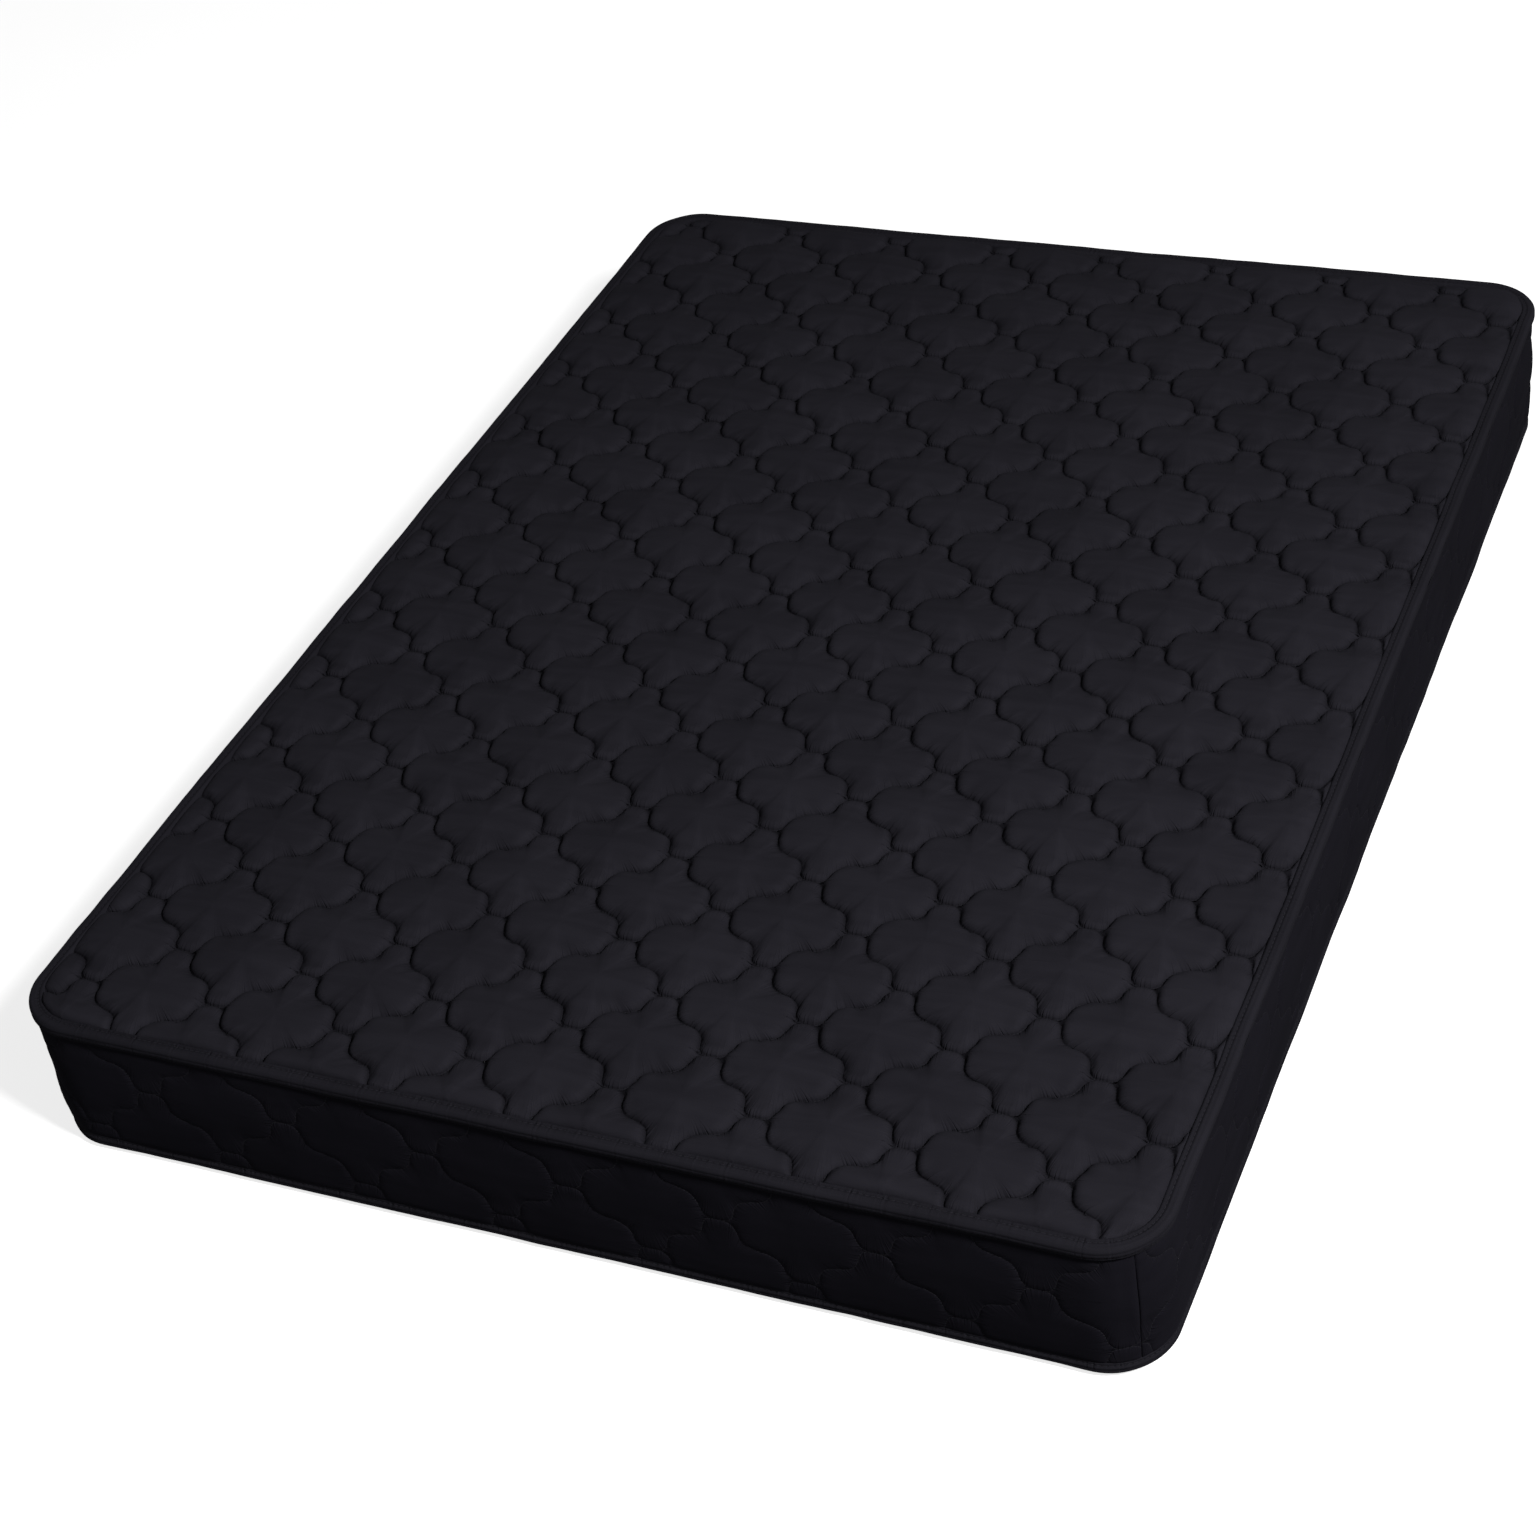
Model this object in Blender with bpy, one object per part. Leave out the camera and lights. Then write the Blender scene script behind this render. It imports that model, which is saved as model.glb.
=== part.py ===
"""Full-size futon mattress, 8 in thick, lying flat as on an open bed frame.

Frame: metres, +Z up, origin on the floor under the middle of the mattress. +X runs across the
short side and +Y along the long side. The mattress folds on a line along Y at x = 0: the half at
-X is the seat of the sofa position and the half at +X is its backrest. The fold turns about the
top face, so the top closes on itself and the underside opens. Each piece that crosses the fold is
a seat half and a back half, and the back halves hang on the empty that stands on the fold axis.
"""

import math

import bpy

# Outer size
WIDTH = 1.372
LENGTH = 1.905
HEIGHT = 0.203
CORNER_RADIUS = 0.080

# Clearance between neighbours, and steps in each quarter of a rounded corner
GAP = 0.0003
CORNER_STEPS = 8

# Cover: two quilted panels, the border band, and the binding tape round both rims
PANEL_THICKNESS = 0.012
PANEL_EDGE_ROUND = 0.004
TAPE_RADIUS = 0.0105
TAPE_DROP = 0.002
BORDER_INSET = 0.004
BORDER_THICKNESS = 0.008

# Core: comfort foam, insulator pad, foam rails and pocketed coils between them
FOAM_THICKNESS = 0.015
PAD_THICKNESS = 0.003
RAIL_WIDTH = 0.070
STRINGS_PER_HALF = 9
POCKETS_PER_STRING = 26
NECK_SHARE = 0.62
SHOULDER_SHARE = 0.27

# Levels of the layers, worked up from the floor; the top half mirrors the bottom half
PANEL_INSET = 2 * TAPE_RADIUS + 2 * GAP
CORE_INSET = BORDER_INSET + BORDER_THICKNESS + GAP
FOAM_BOTTOM = PANEL_THICKNESS + GAP
PAD_BOTTOM = FOAM_BOTTOM + FOAM_THICKNESS + GAP
COIL_BOTTOM = PAD_BOTTOM + PAD_THICKNESS + GAP
COIL_TOP = HEIGHT - COIL_BOTTOM
TAPE_LEVEL = TAPE_DROP + TAPE_RADIUS
BORDER_BOTTOM = TAPE_LEVEL + TAPE_RADIUS + GAP

HALF_WIDTH = WIDTH / 2
HALF_LENGTH = LENGTH / 2

# Which way each half lies from the fold
SIDES = {"seat": -1, "back": 1}


def clear_scene():
    """Empties the file, so that the mattress is the only thing in it."""
    for obj in list(bpy.data.objects):
        bpy.data.objects.remove(obj, do_unlink=True)


def new_collection(name):
    """A collection of this name in the scene."""
    collection = bpy.data.collections.new(name)
    bpy.context.scene.collection.children.link(collection)
    return collection


def new_material(name, colour, roughness):
    """A Principled material of one colour, none of it metal."""
    material = bpy.data.materials.new(name)
    material.use_nodes = True
    shader = material.node_tree.nodes["Principled BSDF"]
    shader.inputs["Base Color"].default_value = (*colour, 1.0)
    shader.inputs["Roughness"].default_value = roughness
    shader.inputs["Metallic"].default_value = 0.0
    material.diffuse_color = (*colour, 1.0)
    return material


def quilted_microfibre():
    return new_material("quilted_microfibre", (0.026, 0.025, 0.031), 0.85)


def border_microfibre():
    return new_material("border_microfibre", (0.022, 0.021, 0.027), 0.85)


def tape_twill():
    return new_material("tape_twill", (0.020, 0.019, 0.024), 0.75)


def comfort_foam():
    return new_material("comfort_foam", (0.75, 0.70, 0.52), 0.95)


def felt_pad():
    return new_material("felt_pad", (0.30, 0.31, 0.32), 0.95)


def rail_foam():
    return new_material("rail_foam", (0.62, 0.66, 0.70), 0.95)


def pocket_nonwoven():
    return new_material("pocket_nonwoven", (0.80, 0.80, 0.78), 0.90)


def fold_axis(collection):
    """The empty on the fold axis, in the middle of the top face."""
    axis = bpy.data.objects.new("fold_axis", None)
    axis.empty_display_size = 0.2
    axis.location = (0, 0, HEIGHT)
    collection.objects.link(axis)
    return axis


def seat_origin(collection):
    """The empty that the still half stands on, at the origin."""
    origin = bpy.data.objects.new("seat_origin", None)
    origin.empty_display_size = 0.2
    collection.objects.link(origin)
    return origin


class Mattress:
    """The collection, and the empty that each half's pieces are parented to."""

    def __init__(self):
        self.collection = new_collection("futon_mattress")
        self.holders = {
            "seat": seat_origin(self.collection),
            "back": fold_axis(self.collection),
        }

    def add(self, curve, half, level, material):
        """Places a curve at a level above the floor, on the half's empty."""
        obj = bpy.data.objects.new(curve.name, curve)
        curve.materials.append(material)
        self.collection.objects.link(obj)
        holder = self.holders[half]
        obj.parent = holder
        obj.location = (0, 0, level - holder.location.z)
        return obj


def quarter(centre_x, centre_y, radius, start):
    """Points of a quarter turn about a centre, anticlockwise from an angle in quarters."""
    points = []
    for step in range(CORNER_STEPS + 1):
        angle = math.pi / 2 * (start + step / CORNER_STEPS)
        points.append((centre_x + radius * math.cos(angle), centre_y + radius * math.sin(angle)))
    return points


def outer_path(inset):
    """The +X half of the rim, this far inside the outer size: from the fold round to the fold."""
    right = HALF_WIDTH - inset
    far = HALF_LENGTH - inset
    radius = CORNER_RADIUS - inset
    return [
        (GAP, -far),
        *quarter(right - radius, radius - far, radius, -1),
        *quarter(right - radius, far - radius, radius, 0),
        (GAP, far),
    ]


def turned(points, half):
    """Points made for the +X half, on the half asked for."""
    return [(SIDES[half] * x, y) for x, y in points]


def flat_outline(name, points, thickness, edge_round=0.0):
    """A filled outline of this thickness, centred on its level, with its rims rounded."""
    curve = bpy.data.curves.new(name, "CURVE")
    curve.dimensions = "2D"
    curve.fill_mode = "BOTH"
    curve.extrude = thickness / 2 - edge_round
    curve.bevel_depth = edge_round
    curve.bevel_resolution = 1
    curve.offset = -edge_round
    add_spline(curve, [(x, y, 0) for x, y in points], closed=True)
    return curve


def round_bead(name, points, radius):
    """A round bead that follows a path, with flat closed ends."""
    curve = bpy.data.curves.new(name, "CURVE")
    curve.dimensions = "3D"
    curve.bevel_depth = radius
    curve.bevel_resolution = 3
    curve.use_fill_caps = True
    add_spline(curve, [(x, y, 0) for x, y in points], closed=False)
    return curve


def add_spline(curve, points, closed):
    """A spline of straight runs through the points."""
    spline = curve.splines.new("POLY")
    spline.points.add(len(points) - 1)
    for point, place in zip(spline.points, points):
        point.co = (*place, 1.0)
    spline.use_cyclic_u = closed
    spline.use_smooth = True


def quilted_panel(mattress, half, name, bottom, material):
    """A quilted cover panel: face fabric, fibre and backing sewn into one pad."""
    outline = turned(outer_path(PANEL_INSET), half)
    curve = flat_outline(f"{name}_{half}", outline, PANEL_THICKNESS, PANEL_EDGE_ROUND)
    mattress.add(curve, half, bottom + PANEL_THICKNESS / 2, material)


def border_band(mattress, half, material):
    """The upright quilted band round the rim, between the two binding tapes."""
    outside = outer_path(BORDER_INSET)
    inside = outer_path(BORDER_INSET + BORDER_THICKNESS)
    outline = turned(outside + inside[::-1], half)
    height = HEIGHT - 2 * BORDER_BOTTOM
    curve = flat_outline(f"border_{half}", outline, height)
    mattress.add(curve, half, HEIGHT / 2, material)


def binding_tape(mattress, half, name, level, material):
    """The rolled tape that binds a panel's edge to the border's."""
    path = turned(outer_path(TAPE_RADIUS), half)
    curve = round_bead(f"{name}_{half}", path, TAPE_RADIUS)
    mattress.add(curve, half, level, material)


def core_layer(mattress, half, name, inset, bottom, thickness, material):
    """A flat layer inside the cover: a comfort foam or an insulator pad."""
    outline = turned(outer_path(inset), half)
    curve = flat_outline(f"{name}_{half}", outline, thickness)
    mattress.add(curve, half, bottom + thickness / 2, material)


def side_rail(mattress, half, material):
    """The foam rail along the long side, rounded at the two corners that it fills."""
    right = HALF_WIDTH - CORE_INSET
    far = HALF_LENGTH - CORE_INSET
    radius = CORNER_RADIUS - CORE_INSET
    outline = [
        (right - RAIL_WIDTH, -far),
        *quarter(right - radius, radius - far, radius, -1),
        *quarter(right - radius, far - radius, radius, 0),
        (right - RAIL_WIDTH, far),
    ]
    curve = flat_outline(f"side_rail_{half}", turned(outline, half), COIL_TOP - COIL_BOTTOM)
    mattress.add(curve, half, HEIGHT / 2, material)


def end_rail(mattress, half, name, end, material):
    """The straight foam rail at one end, from the fold to the side rail."""
    right = HALF_WIDTH - CORE_INSET - RAIL_WIDTH - GAP
    outer = end * (HALF_LENGTH - CORE_INSET)
    inner = end * (HALF_LENGTH - CORE_INSET - RAIL_WIDTH)
    outline = [(GAP, outer), (right, outer), (right, inner), (GAP, inner)]
    curve = flat_outline(f"{name}_{half}", turned(outline, half), COIL_TOP - COIL_BOTTOM)
    mattress.add(curve, half, HEIGHT / 2, material)


def pocket_outline(middle_x, width, length):
    """A row of pockets from above: each swells between the narrow welds at its two ends."""
    pitch = length / POCKETS_PER_STRING
    neck = width / 2 * NECK_SHARE
    shoulder = width / 2
    side = [(neck, -length / 2)]
    for pocket in range(POCKETS_PER_STRING):
        middle_y = (pocket + 0.5) * pitch - length / 2
        side += [
            (shoulder, middle_y - SHOULDER_SHARE * pitch),
            (shoulder, middle_y + SHOULDER_SHARE * pitch),
            (neck, middle_y + pitch / 2),
        ]
    right = [(middle_x + half_width, y) for half_width, y in side]
    left = [(middle_x - half_width, y) for half_width, y in reversed(side)]
    return right + left


def coil_strings(mattress, half, material):
    """Rows of pocketed coils along the mattress, side by side from the fold to the rail."""
    core_width = HALF_WIDTH - CORE_INSET - RAIL_WIDTH - 2 * GAP
    core_length = LENGTH - 2 * (CORE_INSET + RAIL_WIDTH + GAP)
    pitch = core_width / STRINGS_PER_HALF
    for row in range(STRINGS_PER_HALF):
        middle_x = GAP + (row + 0.5) * pitch
        outline = turned(pocket_outline(middle_x, pitch - GAP, core_length), half)
        name = f"coil_string_{half}_{row + 1}"
        curve = flat_outline(name, outline, COIL_TOP - COIL_BOTTOM)
        mattress.add(curve, half, HEIGHT / 2, material)


def main():
    """Builds the cover and the core of both halves."""
    clear_scene()
    mattress = Mattress()
    quilted, band, tape = quilted_microfibre(), border_microfibre(), tape_twill()
    foam, felt, rail, pocket = comfort_foam(), felt_pad(), rail_foam(), pocket_nonwoven()
    for half in SIDES:
        quilted_panel(mattress, half, "bottom_panel", 0.0, quilted)
        quilted_panel(mattress, half, "top_panel", HEIGHT - PANEL_THICKNESS, quilted)
        border_band(mattress, half, band)
        binding_tape(mattress, half, "bottom_tape", TAPE_LEVEL, tape)
        binding_tape(mattress, half, "top_tape", HEIGHT - TAPE_LEVEL, tape)
        foam_top = HEIGHT - FOAM_BOTTOM - FOAM_THICKNESS
        core_layer(mattress, half, "bottom_foam", PANEL_INSET, FOAM_BOTTOM, FOAM_THICKNESS, foam)
        core_layer(mattress, half, "top_foam", PANEL_INSET, foam_top, FOAM_THICKNESS, foam)
        pad_top = HEIGHT - PAD_BOTTOM - PAD_THICKNESS
        core_layer(mattress, half, "bottom_pad", CORE_INSET, PAD_BOTTOM, PAD_THICKNESS, felt)
        core_layer(mattress, half, "top_pad", CORE_INSET, pad_top, PAD_THICKNESS, felt)
        side_rail(mattress, half, rail)
        end_rail(mattress, half, "foot_rail", -1, rail)
        end_rail(mattress, half, "head_rail", 1, rail)
        coil_strings(mattress, half, pocket)


main()
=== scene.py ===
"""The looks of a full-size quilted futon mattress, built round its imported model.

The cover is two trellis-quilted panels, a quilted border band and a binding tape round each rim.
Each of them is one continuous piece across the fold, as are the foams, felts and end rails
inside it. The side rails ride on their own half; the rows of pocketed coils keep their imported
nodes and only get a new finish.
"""

import logging
import math
import random
from dataclasses import dataclass, field
from enum import Enum
from typing import Any, Iterable

import bmesh
import bpy
import numpy as np
from mathutils import Matrix, Vector, noise


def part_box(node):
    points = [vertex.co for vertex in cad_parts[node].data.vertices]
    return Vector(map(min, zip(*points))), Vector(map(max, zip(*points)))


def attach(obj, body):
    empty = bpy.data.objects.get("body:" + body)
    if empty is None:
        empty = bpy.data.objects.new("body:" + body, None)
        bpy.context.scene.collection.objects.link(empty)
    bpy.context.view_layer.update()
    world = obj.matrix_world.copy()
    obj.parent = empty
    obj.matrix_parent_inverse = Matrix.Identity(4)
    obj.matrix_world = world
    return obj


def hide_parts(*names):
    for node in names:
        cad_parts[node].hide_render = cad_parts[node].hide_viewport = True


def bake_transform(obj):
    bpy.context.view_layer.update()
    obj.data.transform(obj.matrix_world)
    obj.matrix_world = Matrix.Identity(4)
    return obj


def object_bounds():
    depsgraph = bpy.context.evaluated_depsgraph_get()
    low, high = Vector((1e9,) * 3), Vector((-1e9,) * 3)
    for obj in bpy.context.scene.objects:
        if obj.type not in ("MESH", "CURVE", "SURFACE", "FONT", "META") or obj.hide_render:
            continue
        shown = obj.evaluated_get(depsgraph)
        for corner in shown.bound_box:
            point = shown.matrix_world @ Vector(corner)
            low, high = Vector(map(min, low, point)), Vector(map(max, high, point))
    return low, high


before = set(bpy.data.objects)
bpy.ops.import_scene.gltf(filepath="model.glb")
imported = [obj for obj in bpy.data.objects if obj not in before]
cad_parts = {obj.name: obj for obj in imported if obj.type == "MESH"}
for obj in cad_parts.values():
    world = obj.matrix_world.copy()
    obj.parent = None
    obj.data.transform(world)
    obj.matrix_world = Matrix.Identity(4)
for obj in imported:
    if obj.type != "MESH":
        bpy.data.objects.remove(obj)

CAD_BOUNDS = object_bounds()
log = logging.getLogger("futon_mattress")

Point2 = tuple[float, float]
Colour = tuple[float, float, float]

# UV maps that the finishes read: metres of cloth, and stitches along a seam by metres from it
CLOTH_MAP = "cloth"
SEAM_MAP = "seam"

# The fold: how far each side of the middle the mattress bends, and the bodies it joins
FOLD_REACH = 0.085
SEAT_BODY = "seat_half"
BACK_BODY = "back_half"
FOLD_CUTS = 16

# The radius of the mattress's four upright corners
CORNER_RADIUS = 0.080

# Points on a seam closer than this are one point
MEETING_GAP = 0.0002


class Face(Enum):
    """Which face of the mattress a quilted panel covers."""

    TOP = "top"
    BOTTOM = "bottom"


class End(Enum):
    """An end of the mattress, by its sign along Y."""

    FOOT = -1
    HEAD = 1


# ---------------------------------------------------------------------------------------------
# Shader nodes
# ---------------------------------------------------------------------------------------------


@dataclass
class Graph:
    """A node tree with short calls that add and join its nodes."""

    tree: bpy.types.NodeTree

    def node(self, kind: str, inputs: dict[Any, Any] | None = None, **settings: Any) -> Any:
        """Adds a node.

        Args:
            kind: the node's type name.
            inputs: a value or an output socket for each input, by name or place.
            settings: the node's own properties.

        Returns:
            The node.
        """
        made = self.tree.nodes.new(kind)
        for name, value in settings.items():
            setattr(made, name, value)
        for key, value in (inputs or {}).items():
            self.feed(made.inputs[key], value)
        return made

    def feed(self, socket: bpy.types.NodeSocket, value: Any) -> None:
        """Links an output to a socket, or sets the socket's value.

        Args:
            socket: the input to feed.
            value: an output socket, a number, a colour or a vector.
        """
        if isinstance(value, bpy.types.NodeSocket):
            self.tree.links.new(value, socket)
        elif isinstance(value, tuple) and len(value) == 3 and socket.type == "RGBA":
            socket.default_value = (*value, 1.0)
        else:
            socket.default_value = value

    def math(self, operation: str, *values: Any, clamp: bool = False) -> bpy.types.NodeSocket:
        """One sum of one to three values.

        Args:
            operation: the Math node's operation.
            values: numbers or output sockets.
            clamp: whether the result stays from 0 to 1.

        Returns:
            The result's socket.
        """
        inputs = dict(enumerate(values))
        return self.node("ShaderNodeMath", inputs, operation=operation, use_clamp=clamp).outputs[0]

    def between(self, value: Any, low: float, high: float, out_low: float, out_high: float) -> Any:
        """A smooth step of a value from one range to another.

        Args:
            value: the output socket to map.
            low: where the step starts.
            high: where the step ends.
            out_low: the result at and before the start.
            out_high: the result at and after the end.

        Returns:
            The result's socket.
        """
        inputs = {0: value, 1: low, 2: high, 3: out_low, 4: out_high}
        made = self.node("ShaderNodeMapRange", inputs, interpolation_type="SMOOTHSTEP")
        return made.outputs[0]

    def mix(self, share: Any, first: Any, second: Any) -> bpy.types.NodeSocket:
        """A mix of two colours.

        Args:
            share: how much of the second colour, from 0 to 1.
            first: the first colour.
            second: the second colour.

        Returns:
            The mixed colour's socket.
        """
        made = self.node("ShaderNodeMix", data_type="RGBA")
        self.feed(made.inputs[0], share)
        self.feed(made.inputs[6], first)
        self.feed(made.inputs[7], second)
        return made.outputs[2]


def new_group(name: str, inputs: dict[str, float], outputs: Iterable[str]) -> tuple[Graph, Any, Any]:
    """A node group whose sockets are a coordinate and plain numbers.

    Args:
        name: the group's name.
        inputs: the number inputs and their usual values.
        outputs: the number outputs.

    Returns:
        The group's graph, its input node and its output node.
    """
    tree = bpy.data.node_groups.new(name, "ShaderNodeTree")
    tree.interface.new_socket("Place", in_out="INPUT", socket_type="NodeSocketVector")
    for socket, value in inputs.items():
        made = tree.interface.new_socket(socket, in_out="INPUT", socket_type="NodeSocketFloat")
        made.default_value = value
    for socket in outputs:
        tree.interface.new_socket(socket, in_out="OUTPUT", socket_type="NodeSocketFloat")
    graph = Graph(tree)
    return graph, graph.node("NodeGroupInput"), graph.node("NodeGroupOutput")


@dataclass
class Effects:
    """The node groups that several finishes share, built once."""

    nap: Any = None
    weave: Any = None
    thread: Any = None

    def __post_init__(self) -> None:
        """Builds the groups."""
        self.nap = self.build_nap()
        self.weave = self.build_weave()
        self.thread = self.build_thread()

    def build_nap(self) -> bpy.types.NodeTree:
        """The brushed surface of cloth: broad marks, streaks along the warp and fine fuzz.

        Returns:
            A group with the outputs Shade, around 0.5, and Height.
        """
        usual = {"Broad scale": 6.0, "Streak scale": 60.0, "Fuzz scale": 900.0, "Stretch": 7.0}
        graph, enter, leave = new_group("brushed_nap", usual, ("Shade", "Height"))
        apart = graph.node("ShaderNodeSeparateXYZ", {0: enter.outputs["Place"]})
        across = graph.math("DIVIDE", apart.outputs[0], enter.outputs["Stretch"])
        drawn = graph.node("ShaderNodeCombineXYZ", {0: across, 1: apart.outputs[1]})
        broad = graph.node(
            "ShaderNodeTexNoise",
            {"Vector": enter.outputs["Place"], "Scale": enter.outputs["Broad scale"], "Detail": 3.0},
        )
        streak = graph.node(
            "ShaderNodeTexNoise",
            {"Vector": drawn.outputs[0], "Scale": enter.outputs["Streak scale"], "Detail": 4.0},
        )
        fuzz = graph.node(
            "ShaderNodeTexNoise",
            {"Vector": enter.outputs["Place"], "Scale": enter.outputs["Fuzz scale"], "Detail": 2.0},
        )
        broad_part = graph.math("MULTIPLY", broad.outputs[0], 0.40)
        streak_part = graph.math("MULTIPLY_ADD", streak.outputs[0], 0.35, broad_part)
        shade = graph.math("MULTIPLY_ADD", fuzz.outputs[0], 0.25, streak_part)
        height = graph.math("MULTIPLY_ADD", streak.outputs[0], 0.5, fuzz.outputs[0])
        graph.feed(leave.inputs["Shade"], shade)
        graph.feed(leave.inputs["Height"], height)
        return graph.tree

    def build_weave(self) -> bpy.types.NodeTree:
        """Threads crossing over and under at a pitch in metres, for tape, felt and nonwoven.

        Returns:
            A group with the outputs Height, 0 to 1, and Gap, 1 between the threads.
        """
        graph, enter, leave = new_group("crossed_threads", {"Pitch": 0.001}, ("Height", "Gap"))
        apart = graph.node("ShaderNodeSeparateXYZ", {0: enter.outputs["Place"]})
        turn = graph.math("DIVIDE", math.pi, enter.outputs["Pitch"])
        waves = [
            graph.math("SINE", graph.math("MULTIPLY", apart.outputs[axis], turn)) for axis in (0, 1)
        ]
        product = graph.math("MULTIPLY", waves[0], waves[1])
        height = graph.math("MULTIPLY_ADD", product, 0.5, 0.5)
        ridge = graph.math("MAXIMUM", *(graph.math("ABSOLUTE", wave) for wave in waves))
        graph.feed(leave.inputs["Height"], height)
        graph.feed(leave.inputs["Gap"], graph.math("SUBTRACT", 1.0, ridge))
        return graph.tree

    def build_thread(self) -> bpy.types.NodeTree:
        """A sewn line: stitches on the seam, the cloth drawn in between them, and a mask for painted
        shade in the crease.

        The place's X counts stitches along the seam and its Y is the distance from it in metres.

        Returns:
            A group with the outputs Thread, a mask, Pucker, Painted crease shade, a mask for painted
            shade, and Shoulder.
        """
        usual = {
            "Thread width": 0.0007,
            "Stitch share": 0.72,
            "Pucker reach": 0.007,
            # How far from the seam the painted crease shade reaches
            "Painted crease shade reach": 0.0014,
            "Shoulder reach": 0.0030,
        }
        outputs = ("Thread", "Pucker", "Painted crease shade", "Shoulder")
        graph, enter, leave = new_group("sewn_line", usual, outputs)
        apart = graph.node("ShaderNodeSeparateXYZ", {0: enter.outputs["Place"]})
        along = graph.math("FRACT", apart.outputs[0])
        middle = graph.math("ABSOLUTE", graph.math("SUBTRACT", along, 0.5))
        half_stitch = graph.math("MULTIPLY", enter.outputs["Stitch share"], 0.5)
        on_stitch = graph.math("LESS_THAN", middle, half_stitch)
        near = graph.math("LESS_THAN", apart.outputs[1], enter.outputs["Thread width"])
        thread = graph.math("MULTIPLY", on_stitch, near)
        fades = {}
        for reach in ("Pucker reach", "Painted crease shade reach", "Shoulder reach"):
            faded = graph.math("DIVIDE", apart.outputs[1], enter.outputs[reach])
            fades[reach] = graph.math("EXPONENT", graph.math("MULTIPLY", faded, -1.0))
        uneven = graph.node("ShaderNodeTexNoise", {"Vector": enter.outputs["Place"], "Scale": 0.4})
        turn = graph.math("MULTIPLY_ADD", uneven.outputs[0], 9.0, apart.outputs[0])
        wave = graph.math("COSINE", graph.math("MULTIPLY", turn, math.pi))
        strength = graph.between(uneven.outputs[0], 0.35, 0.7, 0.1, 1.6)
        drawn = graph.math("MULTIPLY", wave, fades["Pucker reach"])
        pucker = graph.math("MULTIPLY", drawn, strength)
        graph.feed(leave.inputs["Thread"], thread)
        graph.feed(leave.inputs["Pucker"], pucker)
        graph.feed(leave.inputs["Painted crease shade"], fades["Painted crease shade reach"])
        graph.feed(leave.inputs["Shoulder"], graph.math("SUBTRACT", 1.0, fades["Shoulder reach"]))
        return graph.tree


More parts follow.
